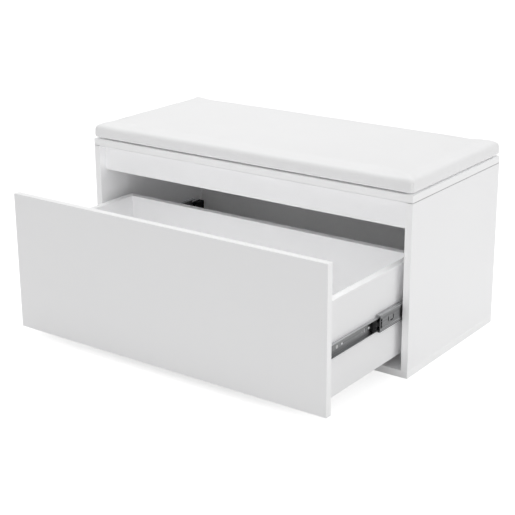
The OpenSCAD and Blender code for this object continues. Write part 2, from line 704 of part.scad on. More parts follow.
// Staples through the hem, in rows along the four edges
staple_w = 10;
staple_wire = 0.7;
staple_leg = 5;
staple_inset = 14;
staple_columns = 9;
staple_rows = 4;
module staple_places() translate([0, cushion_mid_y, cushion_z0]) {
    reach_x = cushion_half_x - staple_inset;
    reach_y = cushion_half_y - staple_inset;
    for (i = [0:staple_columns - 1], side = [-1, 1])
        translate([(2 * i / (staple_columns - 1) - 1) * (reach_x - 45), side * reach_y, 0]) children();
    for (i = [0:staple_rows - 1], side = [-1, 1])
        translate([side * reach_x, (2 * i / (staple_rows - 1) - 1) * (reach_y - 45), 0])
            rotate([0, 0, 90]) children();
}
module staple_legs(play) for (side = [-1, 1])
    translate([side * (staple_w - staple_wire) / 2, 0, (cover_t + staple_leg) / 2])
        cube([staple_wire + 2 * play, staple_wire + 2 * play, cover_t + staple_leg + 2 * play], center = true);
module cushion_staples() color(zinc) from_front() staple_places() {
    staple_legs(0);
    translate([0, 0, -staple_wire / 2]) cube([staple_w, staple_wire, staple_wire], center = true);
}

// Pads that hold the cushion: hooks on the top panel, loops under the cushion
module pads(z, thickness) for (x = [-1, 0, 1], y = [-1, 1])
    translate([x * (half_w - pad_from_edge[0]), cushion_mid_y + y * (bench_d / 2 - pad_from_edge[1]), z])
        linear_extrude(thickness) rounded_rect(pad_size, 3);
module hook_pads() color(edge_white) from_front() pads(carcass_h, pad_t);
module loop_pads() color(edge_white) from_front() pads(carcass_h + pad_t, pad_t + cover_t);

top_panel();
bottom_panel();
left_side_panel();
right_side_panel();
front_rail();
back_panel();
carcass_dowels();
carcass_cam_bolts();
carcass_cam_locks();
cam_lock_caps();
drawer_front();
drawer_left_side();
drawer_right_side();
drawer_back();
drawer_bottom();
drawer_dowels();
drawer_cam_bolts();
drawer_cam_locks();
drawer_back_screws();
left_cabinet_member();
right_cabinet_member();
left_intermediate_member();
right_intermediate_member();
left_drawer_member();
right_drawer_member();
left_outer_cage();
right_outer_cage();
left_outer_balls();
right_outer_balls();
left_inner_cage();
right_inner_cage();
left_inner_balls();
right_inner_balls();
left_release_lever();
right_release_lever();
cabinet_member_screws();
drawer_member_screws();
left_push_housing();
right_push_housing();
left_push_plunger();
right_push_plunger();
cushion_base();
cushion_foam();
cushion_cover();
cushion_staples();
hook_pads();
loop_pads();
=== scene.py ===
"""Looks of an entryway bench with an inset drawer and a padded seat cushion.

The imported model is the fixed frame. Boards get rounded and banded edges, the cushion is
an inflated leather cover, and every other part keeps its shape and gets its finish here.
Lengths are in metres.
"""

import logging
import math
from dataclasses import dataclass, field
from enum import Enum

import bmesh
import bpy
from mathutils import Matrix, Vector, noise


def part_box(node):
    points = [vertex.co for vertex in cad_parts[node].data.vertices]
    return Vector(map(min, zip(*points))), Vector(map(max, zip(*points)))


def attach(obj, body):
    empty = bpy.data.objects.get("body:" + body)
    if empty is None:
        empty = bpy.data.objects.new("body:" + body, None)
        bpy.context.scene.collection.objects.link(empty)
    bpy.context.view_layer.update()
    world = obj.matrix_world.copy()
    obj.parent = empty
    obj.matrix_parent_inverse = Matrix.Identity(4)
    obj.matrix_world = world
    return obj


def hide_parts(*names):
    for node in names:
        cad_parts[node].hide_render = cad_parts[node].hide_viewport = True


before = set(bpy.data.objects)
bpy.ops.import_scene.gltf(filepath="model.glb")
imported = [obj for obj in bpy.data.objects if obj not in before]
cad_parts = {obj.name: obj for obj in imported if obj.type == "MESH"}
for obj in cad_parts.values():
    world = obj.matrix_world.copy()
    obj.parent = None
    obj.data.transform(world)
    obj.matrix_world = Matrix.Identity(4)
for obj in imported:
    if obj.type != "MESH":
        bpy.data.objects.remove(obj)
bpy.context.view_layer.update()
MM = 0.001
SEED = 7
# Middle of the gain that the mottle gives: colours show this many times their named value
MOTTLE_MIDDLE = 1.5

logging.basicConfig(level=logging.INFO, format="%(message)s")
log = logging.getLogger("bench")

Colour = tuple[float, float, float]


class Side(Enum):
    """Left or right hand of the bench, seen from the front."""

    LEFT = "left"
    RIGHT = "right"


class Axis(Enum):
    """Row axis that a grain or a rolling mark runs along."""

    X = 0
    Y = 1
    Z = 2


class Face(Enum):
    """What a face of a coated board shows."""

    COATING = 0
    BAND = 1
    CORE = 2
    # Painted shade: the rounded edge facets where two boards meet, in dark grey.
    JOINT = 3


# ---------------------------------------------------------------- shader helpers
class Shader:
    """A material under construction, with one Principled BSDF."""

    def __init__(self, name: str) -> None:
        """Makes an empty node material.

        Args:
            name: Name of the material.
        """
        self.material = bpy.data.materials.new(name)
        self.material.use_nodes = True
        self.tree = self.material.node_tree
        self.tree.nodes.clear()
        self.bsdf = self.add("ShaderNodeBsdfPrincipled")
        output = self.add("ShaderNodeOutputMaterial")
        self.join(self.bsdf.outputs["BSDF"], output.inputs["Surface"])

    def add(self, kind: str, **values: object) -> bpy.types.Node:
        """Adds a node.

        Args:
            kind: The node's type name.
            values: Properties, or default values of inputs with the same name.

        Returns:
            The new node.
        """
        return add_node(self.tree, kind, **values)

    def join(self, start: bpy.types.NodeSocket, end: bpy.types.NodeSocket) -> None:
        """Links two sockets."""
        self.tree.links.new(start, end)

    def group(
        self, tree: bpy.types.NodeTree, source: str = "Object", **values: object
    ) -> bpy.types.Node:
        """Places a shared node group.

        Args:
            tree: The group.
            source: Texture coordinate that feeds its Vector input.
            values: Values of its other inputs, with underscores for spaces.

        Returns:
            The group node.
        """
        node = self.tree.nodes.new("ShaderNodeGroup")
        node.node_tree = tree
        for name, value in values.items():
            node.inputs[name.replace("_", " ")].default_value = value
        self.join(self.place(source), node.inputs["Vector"])
        return node

    def place(self, source: str) -> bpy.types.NodeSocket:
        """Finds a texture coordinate; all of them ride with the piece.

        Args:
            source: Name of the coordinate, such as Object or Normal.

        Returns:
            The socket that gives it.
        """
        found = self.tree.nodes.get("place") or self.add("ShaderNodeTexCoord", name="place")
        return found.outputs[source]

    def fix(self, **values: object) -> None:
        """Sets constant values on the Principled BSDF's own sockets.

        Args:
            values: Value of each socket, with underscores for spaces.
        """
        for name, value in values.items():
            self.bsdf.inputs[name.replace("_", " ")].default_value = value

    def colour(self, source: bpy.types.NodeSocket) -> None:
        """Feeds a colour into Base Color."""
        self.join(source, self.bsdf.inputs["Base Color"])

    def ramp(self, mask: bpy.types.NodeSocket, start: Colour, end: Colour) -> bpy.types.NodeSocket:
        """Mixes two colours.

        Args:
            mask: Share of the second colour, from 0 to 1.
            start: The first colour.
            end: The second colour.

        Returns:
            The socket with the mixed colour.
        """
        mix = self.add("ShaderNodeMix", data_type="RGBA")
        mix.inputs["A"].default_value = (*start, 1.0)
        mix.inputs["B"].default_value = (*end, 1.0)
        self.join(mask, mix.inputs["Factor"])
        return mix.outputs["Result"]

    def spread(self, mask: bpy.types.NodeSocket, low: float, high: float) -> None:
        """Spreads the roughness over the surface.

        Args:
            mask: Socket that runs from 0 to 1.
            low: Roughness where the mask is 0.
            high: Roughness where the mask is 1.
        """
        scale = self.add("ShaderNodeMapRange", To_Min=low, To_Max=high)
        self.join(mask, scale.inputs["Value"])
        self.join(scale.outputs["Result"], self.bsdf.inputs["Roughness"])

    def relief(self, height: bpy.types.NodeSocket, distance: float, strength: float = 1.0) -> None:
        """Feeds a height through a Bump node into Normal.

        Args:
            height: Socket with the height, from 0 to 1.
            distance: Depth of a full step of height.
            strength: Share of the bump that shows.
        """
        bump = self.add("ShaderNodeBump", Distance=distance, Strength=strength)
        self.join(height, bump.inputs["Height"])
        self.join(bump.outputs["Normal"], self.bsdf.inputs["Normal"])


def add_node(tree: bpy.types.NodeTree, kind: str, **values: object) -> bpy.types.Node:
    """Adds a node to a tree and sets it up.

    Args:
        tree: Where the node goes.
        kind: The node's type name.
        values: Properties, or default values of inputs with the same name.

    Returns:
        The new node.
    """
    node = tree.nodes.new(kind)
    for name, value in values.items():
        label = name.replace("_", " ")
        if label in node.inputs:
            node.inputs[label].default_value = value
        else:
            setattr(node, name, value)
    return node


def new_group(name: str, inputs: dict[str, float | Colour], outputs: dict[str, str]) -> bpy.types.NodeTree:
    """Makes an empty shader node group with a Vector input.

    Args:
        name: Name of the group.
        inputs: Default value of each input; a tuple makes a colour input.
        outputs: Socket type of each output.

    Returns:
        The group, with its input and output nodes in place.
    """
    tree = bpy.data.node_groups.new(name, "ShaderNodeTree")
    face = tree.interface
    face.new_socket("Vector", in_out="INPUT", socket_type="NodeSocketVector")
    for label, value in inputs.items():
        kind = "NodeSocketColor" if isinstance(value, tuple) else "NodeSocketFloat"
        socket = face.new_socket(label, in_out="INPUT", socket_type=kind)
        socket.default_value = (*value, 1.0) if isinstance(value, tuple) else value
    for label, kind in outputs.items():
        face.new_socket(label, in_out="OUTPUT", socket_type=kind)
    tree.nodes.new("NodeGroupInput").name = "in"
    tree.nodes.new("NodeGroupOutput").name = "out"
    return tree


def mottle_group() -> bpy.types.NodeTree:
    """Builds the group that shifts a colour's brightness in soft patches and fine specks.

    Its gain runs round MOTTLE_MIDDLE, by up to Amount each way.

    Returns:
        The group, with outputs Color and Mask.
    """
    tree = new_group(
        "mottle",
        {"Color": (0.8, 0.8, 0.8), "Patch Scale": 9.0, "Speck Scale": 900.0, "Amount": 0.03},
        {"Color": "NodeSocketColor", "Mask": "NodeSocketFloat"},
    )
    start, end, link = tree.nodes["in"].outputs, tree.nodes["out"].inputs, tree.links.new
    patch = add_node(tree, "ShaderNodeTexNoise", Detail=3.0, Roughness=0.55)
    speck = add_node(tree, "ShaderNodeTexNoise", Detail=1.0, Roughness=0.4)
    both = add_node(tree, "ShaderNodeMath", operation="ADD")
    least = add_node(tree, "ShaderNodeMath", operation="MULTIPLY_ADD")
    gain = add_node(tree, "ShaderNodeMath", operation="MULTIPLY_ADD")
    tint = add_node(tree, "ShaderNodeMix", data_type="RGBA", blend_type="MULTIPLY")
    tint.inputs["Factor"].default_value = 1.0
    for source, scale in ((patch, "Patch Scale"), (speck, "Speck Scale")):
        link(start["Vector"], source.inputs["Vector"])
        link(start[scale], source.inputs["Scale"])
    link(patch.outputs["Fac"], both.inputs[0])
    link(speck.outputs["Fac"], both.inputs[1])
    least.inputs[1].default_value = -1.0
    least.inputs[2].default_value = MOTTLE_MIDDLE
    link(start["Amount"], least.inputs[0])
    link(both.outputs[0], gain.inputs[0])
    link(start["Amount"], gain.inputs[1])
    link(least.outputs[0], gain.inputs[2])
    link(start["Color"], tint.inputs["A"])
    link(gain.outputs[0], tint.inputs["B"])
    link(tint.outputs["Result"], end["Color"])
    link(patch.outputs["Fac"], end["Mask"])
    return tree


def relief_group() -> bpy.types.NodeTree:
    """Builds the group that mixes rounded cells and fine noise into a height.

    Returns:
        The group, with the output Height.
    """
    tree = new_group(
        "fine_relief",
        {"Cell Scale": 800.0, "Noise Scale": 1500.0, "Cell Share": 0.5},
        {"Height": "NodeSocketFloat"},
    )
    start, end, link = tree.nodes["in"].outputs, tree.nodes["out"].inputs, tree.links.new
    cells = add_node(tree, "ShaderNodeTexVoronoi", feature="SMOOTH_F1", Smoothness=0.6)
    grain = add_node(tree, "ShaderNodeTexNoise", Detail=4.0, Roughness=0.6)
    mix = add_node(tree, "ShaderNodeMix", data_type="FLOAT")
    link(start["Vector"], cells.inputs["Vector"])
    link(start["Cell Scale"], cells.inputs["Scale"])
    link(start["Vector"], grain.inputs["Vector"])
    link(start["Noise Scale"], grain.inputs["Scale"])
    link(start["Cell Share"], mix.inputs["Factor"])
    link(grain.outputs["Fac"], mix.inputs["A"])
    link(cells.outputs["Distance"], mix.inputs["B"])
    link(mix.outputs["Result"], end["Height"])
    return tree


def streak_group() -> bpy.types.NodeTree:
    """Builds the group of long marks, as rolling leaves in steel or growth leaves in wood.

    Returns:
        The group, with outputs Mask and Height.
    """
    tree = new_group(
        "streaks",
        {"Across X": 400.0, "Across Y": 6.0, "Across Z": 400.0, "Sharpness": 1.0},
        {"Mask": "NodeSocketFloat", "Height": "NodeSocketFloat"},
    )
    start, end, link = tree.nodes["in"].outputs, tree.nodes["out"].inputs, tree.links.new
    parts = add_node(tree, "ShaderNodeCombineXYZ")
    for label, axis in (("Across X", "X"), ("Across Y", "Y"), ("Across Z", "Z")):
        link(start[label], parts.inputs[axis])
    stretch = add_node(tree, "ShaderNodeVectorMath", operation="MULTIPLY")
    link(start["Vector"], stretch.inputs[0])
    link(parts.outputs["Vector"], stretch.inputs[1])
    wide = add_node(tree, "ShaderNodeTexNoise", Scale=1.0, Detail=5.0, Roughness=0.6)
    fine = add_node(tree, "ShaderNodeTexNoise", Scale=4.0, Detail=2.0, Roughness=0.5)
    link(stretch.outputs["Vector"], wide.inputs["Vector"])
    link(stretch.outputs["Vector"], fine.inputs["Vector"])
    contrast = add_node(tree, "ShaderNodeMath", operation="POWER", use_clamp=True)
    link(wide.outputs["Fac"], contrast.inputs[0])
    link(start["Sharpness"], contrast.inputs[1])
    link(contrast.outputs[0], end["Mask"])
    link(fine.outputs["Fac"], end["Height"])
    return tree


def painted_shade_group() -> bpy.types.NodeTree:
    """Builds the group that paints shade on a part's downward faces and a painted highlight on its upward
    lips.

    Its Vector input takes the surface normal.

    Returns:
        The group, with the output Color.
    """
    tree = new_group(
        "oil_film", {"Color": (0.8, 0.8, 0.8), "Strength": 1.0}, {"Color": "NodeSocketColor"}
    )
    start, end, link = tree.nodes["in"].outputs, tree.nodes["out"].inputs, tree.links.new
    split = add_node(tree, "ShaderNodeSeparateXYZ")
    # Painted shade and highlight: 0.2 times the colour on downward faces, 1.4 times on upward ones.
    level = add_node(tree, "ShaderNodeMapRange", From_Min=-0.7, From_Max=0.7, To_Min=0.2, To_Max=1.4)
    layer = add_node(tree, "ShaderNodeMix", data_type="RGBA", blend_type="MULTIPLY")
    link(start["Vector"], split.inputs["Vector"])
    link(split.outputs["Z"], level.inputs["Value"])
    link(start["Strength"], layer.inputs["Factor"])
    link(start["Color"], layer.inputs["A"])
    link(level.outputs["Result"], layer.inputs["B"])
    link(layer.outputs["Result"], end["Color"])
    return tree


@dataclass
class Effects:
    """The node groups that several finishes share.

    Attributes:
        mottle: Soft patches and specks of brightness.
        relief: Rounded cells and fine noise.
        streaks: Long marks along one axis.
        painted_shade: Painted shade under a part and a painted highlight on its upper lips, set by the
            surface normal.
    """

    mottle: bpy.types.NodeTree = field(default_factory=mottle_group)
    relief: bpy.types.NodeTree = field(default_factory=relief_group)
    streaks: bpy.types.NodeTree = field(default_factory=streak_group)
    painted_shade: bpy.types.NodeTree = field(default_factory=painted_shade_group)


# ---------------------------------------------------------------- finishes
@dataclass(frozen=True)
class CoatedFinish:
    """A pale sheet finish: melamine, edge band, lacquer or moulded plastic.

    Attributes:
        name: Name of the material.
        colour: Base colour.
        roughness: Middle of the roughness range.
        grain: Cells in a metre of the fine relief.
        depth: Depth of the fine relief.
        amount: Change of brightness over the surface.
        shine: Level of the mirror-like reflection.
    """

    name: str
    colour: Colour
    roughness: float = 0.45
    grain: float = 900.0
    depth: float = 0.00004
    amount: float = 0.02
    shine: float = 0.5

    def material(self, effects: Effects) -> bpy.types.Material:
        """Builds the material.

        Args:
            effects: The shared node groups.

        Returns:
            The finished material.
        """
        shader = Shader(self.name)
        tone = shader.group(effects.mottle, Color=(*self.colour, 1.0), Amount=self.amount)
        shader.colour(tone.outputs["Color"])
        shader.spread(tone.outputs["Mask"], self.roughness - 0.05, self.roughness + 0.05)
        relief = shader.group(
            effects.relief, Cell_Scale=self.grain, Noise_Scale=self.grain * 1.8, Cell_Share=0.35
        )
        shader.relief(relief.outputs["Height"], self.depth)
        shader.fix(Specular_IOR_Level=self.shine)
        return shader.material


@dataclass(frozen=True)
class LeatherFinish:
    """Smooth artificial leather with a fine embossed grain.

    Attributes:
        name: Name of the material.
        colour: Base colour.
        cells: Cells of the grain in a metre.
        depth: Depth of the grain.
    """

    name: str
    colour: Colour
    cells: float = 1150.0
    depth: float = 0.00009

    def material(self, effects: Effects) -> bpy.types.Material:
        """Builds the material.

        Args:
            effects: The shared node groups.

        Returns:
            The finished material.
        """
        shader = Shader(self.name)
        tone = shader.group(effects.mottle, Color=(*self.colour, 1.0), Patch_Scale=14.0, Amount=0.025)
        shader.colour(tone.outputs["Color"])
        shader.spread(tone.outputs["Mask"], 0.42, 0.56)
        relief = shader.group(
            effects.relief, Cell_Scale=self.cells, Noise_Scale=self.cells * 0.5, Cell_Share=0.6
        )
        shader.relief(relief.outputs["Height"], self.depth)
        shader.fix(Sheen_Weight=0.06, Sheen_Roughness=0.5, Coat_Weight=0.04, Coat_Roughness=0.4)
        return shader.material


@dataclass(frozen=True)
class MetalFinish:
    """Zinc-plated or polished steel with rolling marks along one axis.

    Attributes:
        name: Name of the material.
        colour: Colour of the bright marks.
        dark: Colour between them.
        roughness: Near the smooth end of the roughness range.
        marks: Axis that the marks run along.
        depth: Depth of the marks.
        painted_shade: Strength of the painted shade on downward faces and the painted highlight on upward
            ones.
    """

    name: str
    colour: Colour
    dark: Colour
    roughness: float = 0.3
    marks: Axis = Axis.Y
    depth: float = 0.00003
    painted_shade: float = 0.0

    def material(self, effects: Effects) -> bpy.types.Material:
        """Builds the material.

        Args:
            effects: The shared node groups.

        Returns:
            The finished material.
        """
        shader = Shader(self.name)
        across = {"Across_X": 420.0, "Across_Y": 420.0, "Across_Z": 420.0}
        across[f"Across_{self.marks.name}"] = 9.0
        marks = shader.group(effects.streaks, Sharpness=1.3, **across)
        plain = shader.ramp(marks.outputs["Mask"], self.dark, self.colour)
        tone = shader.group(effects.mottle, Patch_Scale=60.0, Speck_Scale=2600.0, Amount=0.12)
        shader.join(plain, tone.inputs["Color"])
        # Painted shade and highlight: the colour darkens on downward faces and brightens on upward ones,
        # by the surface normal.
        painted_shade = shader.group(effects.painted_shade, "Normal", Strength=self.painted_shade)
        shader.join(tone.outputs["Color"], painted_shade.inputs["Color"])
        shader.colour(painted_shade.outputs["Color"])
        shader.spread(tone.outputs["Mask"], self.roughness - 0.08, self.roughness + 0.12)
        shader.relief(marks.outputs["Height"], self.depth)
        shader.fix(Metallic=1.0)
        return shader.material


@dataclass(frozen=True)
class WoodFinish:
    """Raw wood with growth lines along one axis, or pressed chips.

    Attributes:
        name: Name of the material.
        light: Colour of the early wood.
        dark: Colour of the late wood.
        grain: Axis that the lines run along.
        across: Lines in a metre across the grain.
        along: Changes in a metre along the grain.
        roughness: Roughness of the raw surface.
        depth: Depth of the lines.
    """

    name: str
    light: Colour
    dark: Colour
    grain: Axis = Axis.X
    across: float = 160.0
    along: float = 9.0
    roughness: float = 0.7
    depth: float = 0.0001

    def material(self, effects: Effects) -> bpy.types.Material:
        """Builds the material.

        Args:
            effects: The shared node groups.

        Returns:
            The finished material.
        """
        shader = Shader(self.name)
        scales = {"Across_X": self.across, "Across_Y": self.across, "Across_Z": self.across}
        scales[f"Across_{self.grain.name}"] = self.along
        lines = shader.group(effects.streaks, Sharpness=1.6, **scales)
        plain = shader.ramp(lines.outputs["Mask"], self.light, self.dark)
        tone = shader.group(effects.mottle, Patch_Scale=20.0, Speck_Scale=1400.0, Amount=0.12)
        shader.join(plain, tone.inputs["Color"])
        shader.colour(tone.outputs["Color"])
        shader.relief(lines.outputs["Height"], self.depth)
        shader.fix(Roughness=self.roughness)
        return shader.material


@dataclass(frozen=True)
class PileFinish:
    """Hook-and-loop tape: a coarse, soft relief.

    Attributes:
        name: Name of the material.
        colour: Base colour.
        cells: Loops in a metre.
        depth: Depth of the pile.
    """

    name: str
    colour: Colour
    cells: float = 1100.0
    depth: float = 0.0005

    def material(self, effects: Effects) -> bpy.types.Material:
        """Builds the material.

        Args:
            effects: The shared node groups.

        Returns:
            The finished material.
        """
        shader = Shader(self.name)
        tone = shader.group(effects.mottle, Color=(*self.colour, 1.0), Amount=0.12)
        shader.colour(tone.outputs["Color"])
        relief = shader.group(
            effects.relief, Cell_Scale=self.cells, Noise_Scale=self.cells, Cell_Share=0.7
        )
        shader.relief(relief.outputs["Height"], self.depth)
        shader.fix(Roughness=0.9, Sheen_Weight=0.3)
        return shader.material


class Palette:
    """Every finish of the bench, each built once."""

    def __init__(self) -> None:
        """Builds the shared effects and the materials."""
        effects = Effects()
        finishes = (
            CoatedFinish("white_board", (0.84, 0.84, 0.845)),
            CoatedFinish("drawer_board", (0.77, 0.77, 0.775)),
            CoatedFinish("edge_band", (0.86, 0.86, 0.862), roughness=0.38, depth=0.00002),
            # Painted shade for the groove where two boards meet.
            CoatedFinish("joint_line", (0.30, 0.30, 0.30), roughness=0.6),
            CoatedFinish("white_hardboard", (0.80, 0.80, 0.80), roughness=0.5, grain=1400.0),
            CoatedFinish("white_plastic", (0.84, 0.84, 0.84), roughness=0.4),
            CoatedFinish("black_plastic", (0.010, 0.010, 0.011), roughness=0.5, depth=0.00006, shine=0.2),
            CoatedFinish("grey_plastic", (0.25, 0.25, 0.26), roughness=0.45),
            LeatherFinish("white_leather", (0.795, 0.795, 0.798)),
            # The slide steel carries painted shade on its lower faces and a painted highlight on its upper
            # lips.
            MetalFinish("slide_steel", (0.47, 0.475, 0.48), (0.14, 0.142, 0.146), painted_shade=1.0),
            MetalFinish("cage_steel", (0.10, 0.10, 0.105), (0.04, 0.04, 0.042), roughness=0.4),
            MetalFinish("ball_steel", (0.80, 0.80, 0.82), (0.70, 0.70, 0.72), roughness=0.14),
            MetalFinish("fastener_steel", (0.66, 0.66, 0.66), (0.44, 0.44, 0.43), roughness=0.34),
            MetalFinish("cam_zinc", (0.56, 0.57, 0.58), (0.38, 0.39, 0.40), roughness=0.45),
            WoodFinish("beech", (0.66, 0.47, 0.29), (0.45, 0.29, 0.16), grain=Axis.Z),
            WoodFinish("plywood", (0.68, 0.52, 0.34), (0.47, 0.32, 0.18)),
            WoodFinish("chip_core", (0.60, 0.47, 0.32), (0.36, 0.26, 0.16), across=520.0, along=300.0),
            PileFinish("hook_and_loop", (0.80, 0.80, 0.80)),
        )
        self.finishes = {finish.name: finish.material(effects) for finish in finishes}

    def __getitem__(self, name: str) -> bpy.types.Material:
        """Returns a material by its name."""
        return self.finishes[name]


# ---------------------------------------------------------------- mesh helpers
# Points closer than this are one point
WELD = 2e-6
# Cosines that tell a flat face, a tilted one, and one square to an axis
FLAT, TILTED, SQUARE = 0.999, 0.05, 0.9999


def new_object(name: str, mesh: bpy.types.Mesh) -> bpy.types.Object:
    """Puts a mesh into the scene as an object at the origin.

    Args:
        name: Name of the object.
        mesh: Its mesh.

    Returns:
        The object.
    """
    piece = bpy.data.objects.new(name, mesh)
    bpy.context.scene.collection.objects.link(piece)
    return piece


def from_bmesh(name: str, shape: bmesh.types.BMesh) -> bpy.types.Object:
    """Turns a bmesh into an object and frees it.

    Args:
        name: Name of the object and of its mesh.
        shape: The bmesh.

    Returns:
        The object.
    """
    mesh = bpy.data.meshes.new(name)
    shape.to_mesh(mesh)
    shape.free()
    return new_object(name, mesh)


def bake_modifiers(piece: bpy.types.Object) -> None:
    """Replaces an object's mesh by what its modifiers make of it.

    Args:
        piece: The object, which ends without modifiers.
    """
    graph = bpy.context.evaluated_depsgraph_get()
    mesh = bpy.data.meshes.new_from_object(piece.evaluated_get(graph), depsgraph=graph)
    piece.modifiers.clear()
    old, piece.data = piece.data, mesh
    bpy.data.meshes.remove(old)


def scaled(point: Vector, scale: tuple[float, float, float]) -> Vector:
    """Scales a point along each axis.

    Args:
        point: The point.
        scale: Factor along X, Y and Z.

    Returns:
        The scaled point.
    """
    return Vector(a * b for a, b in zip(point, scale))


def dress(node: str, finish: bpy.types.Material) -> None:
    """Gives a carried-over node its finish.

    Args:
        node: Name of the node.
        finish: Its material.
    """
    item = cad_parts[node]
    if not item.material_slots:
        item.data.materials.append(finish)
    for slot in item.material_slots:
        slot.material = finish
    log.info("dressed %s in %s", node, finish.name)


def welded_copy(node: str) -> bpy.types.Object:
    """Copies a node's mesh into a temporary closed object.

    Args:
        node: Name of the node.

    Returns:
        The copy, with its doubled points welded.
    """
    shape = bmesh.new()
    shape.from_mesh(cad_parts[node].data)
    bmesh.ops.remove_doubles(shape, verts=shape.verts, dist=WELD)
    return from_bmesh("cutter", shape)


@dataclass(frozen=True)
class Board:
    """A coated board with rounded, banded edges.

    Attributes:
        node: The node it stands for.
        body: The body it rides on.
        coating: Finish of its faces.
        joint: End that meets another board, whose rounded edge gets painted shade, 1 for the top, -1 for
            the foot.
        radius: Radius of its edges.
        steps: Facets of each rounded edge.
        skin: Depth below which a flat face counts as cut into the core.
    """

    node: str
    body: str
    coating: str = "white_board"
    joint: int = 0
    radius: float = 0.7 * MM
    steps: int = 3
    skin: float = 0.1 * MM

    def build(self, palette: Palette) -> bpy.types.Object:
        """Builds the board from its node's box and cut-outs.

        Args:
            palette: The finishes.

        Returns:
            The finished board.
        """
        low, high = (Vector(corner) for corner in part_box(self.node))
        shape = bmesh.new()
        bmesh.ops.create_cube(shape, size=1.0)
        size, middle = high - low, (high + low) / 2
        for vert in shape.verts:
            vert.co = scaled(vert.co, size) + middle
        bmesh.ops.bevel(
            shape, geom=shape.edges[:], offset=self.radius, segments=self.steps,
            affect="EDGES", profile=0.5,
        )
        piece = from_bmesh(f"{self.node}_board", shape)
        cutter = welded_copy(self.node)
        cut = piece.modifiers.new("cut", "BOOLEAN")
        cut.operation, cut.solver, cut.object = "INTERSECT", "EXACT", cutter
        bake_modifiers(piece)
        mesh = cutter.data
        bpy.data.objects.remove(cutter)
        bpy.data.meshes.remove(mesh)
        self.paint(piece, palette, low, high)
        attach(piece, self.body)
        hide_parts(self.node)
        log.info("board %s, %d faces", piece.name, len(piece.data.polygons))
        return piece

    def paint(
        self, piece: bpy.types.Object, palette: Palette, low: Vector, high: Vector
    ) -> None:
        """Gives each face its coating, its edge band, its raw core or the painted shade of a joint.

        Args:
            piece: The board.
            palette: The finishes.
            low: Lowest corner of the board.
            high: Highest corner of the board.
        """
        piece.data.materials.clear()
        for name in (self.coating, "edge_band", "chip_core", "joint_line"):
            piece.data.materials.append(palette[name])
        size = high - low
        thin = min(range(3), key=lambda axis: size[axis])
        across = [axis for axis in range(3) if axis != thin]
        for face in piece.data.polygons:
            at = face.center
            depth = min(at[thin] - low[thin], high[thin] - at[thin])
            rim = min(min(at[axis] - low[axis], high[axis] - at[axis]) for axis in across)
            flat = abs(face.normal[thin]) > FLAT
            slope = self.joint * face.normal.z
            near = (at.z - low.z) if self.joint < 0 else (high.z - at.z)
            # Rounded edge facets next to a joint get painted shade.
            if self.joint and near < self.radius and TILTED < slope < FLAT:
                kind = Face.JOINT
            elif flat and depth < self.skin:
                kind = Face.COATING
            elif rim < self.radius:
                kind = Face.BAND
            else:
                kind = Face.CORE
            face.material_index = kind.value
            face.use_smooth = max(abs(part) for part in face.normal) < SQUARE


# ---------------------------------------------------------------- sub-assemblies
@dataclass
class Carcass:
    """The fixed case: panels, rail, back, and the fasteners that hold them.

    Attributes:
        palette: The finishes.
        body: The body it rides on.
        boards: The coated boards.
        joints: Boards whose joint gets painted shade, 1 at the top, -1 at the foot.
    """

    palette: Palette
    body: str = "carcass"
    boards: tuple[str, ...] = (
        "top_panel", "bottom_panel", "left_side_panel", "right_side_panel", "front_rail",
    )
    joints: dict[str, int] = field(default_factory=lambda: {
        "top_panel": -1, "left_side_panel": 1, "right_side_panel": 1,
    })

    def build(self) -> None:
        """Builds the boards and dresses the rest."""
        for node in self.boards:
            Board(node, self.body, joint=self.joints.get(node, 0)).build(self.palette)
        dress("back_panel", self.palette["white_hardboard"])
        dress("carcass_dowels", self.palette["beech"])
        dress("carcass_cam_bolts", self.palette["fastener_steel"])
        dress("carcass_cam_locks", self.palette["cam_zinc"])
        dress("cam_lock_caps", self.palette["white_plastic"])
        dress("hook_pads", self.palette["hook_and_loop"])
        dress("cabinet_member_screws", self.palette["fastener_steel"])


@dataclass
class Drawer:
    """The drawer: its front, box and fasteners.

    Attributes:
        palette: The finishes.
        body: The body it rides on.
        boards: The boards of the box.
    """

    palette: Palette
    body: str = "drawer"
    boards: tuple[str, ...] = ("drawer_left_side", "drawer_right_side", "drawer_back")

    def build(self) -> None:
        """Builds the boards and dresses the rest."""
        Board("drawer_front", self.body).build(self.palette)
        for node in self.boards:
            Board(node, self.body, "drawer_board").build(self.palette)
        dress("drawer_bottom", self.palette["white_hardboard"])
        dress("drawer_dowels", self.palette["beech"])
        dress("drawer_cam_bolts", self.palette["fastener_steel"])
        dress("drawer_cam_locks", self.palette["cam_zinc"])
        dress("drawer_back_screws", self.palette["fastener_steel"])
        dress("drawer_member_screws", self.palette["fastener_steel"])


@dataclass
class Slide:
    """One ball-bearing slide with its push-to-open unit.

    Attributes:
        palette: The finishes.
        side: Hand of the slide.
    """

    palette: Palette
    side: Side

    def build(self) -> None:
        """Dresses the slide's members, cages, balls, lever and push-to-open unit."""
        finishes = {
            "cabinet_member": "slide_steel",
            "intermediate_member": "slide_steel",
            "drawer_member": "slide_steel",
            "outer_cage": "cage_steel",
            "inner_cage": "cage_steel",
            "outer_balls": "ball_steel",
            "inner_balls": "ball_steel",
            "release_lever": "black_plastic",
            "push_housing": "black_plastic",
            "push_plunger": "grey_plastic",
        }
        for part, finish in finishes.items():
            dress(f"{self.side.value}_{part}", self.palette[finish])


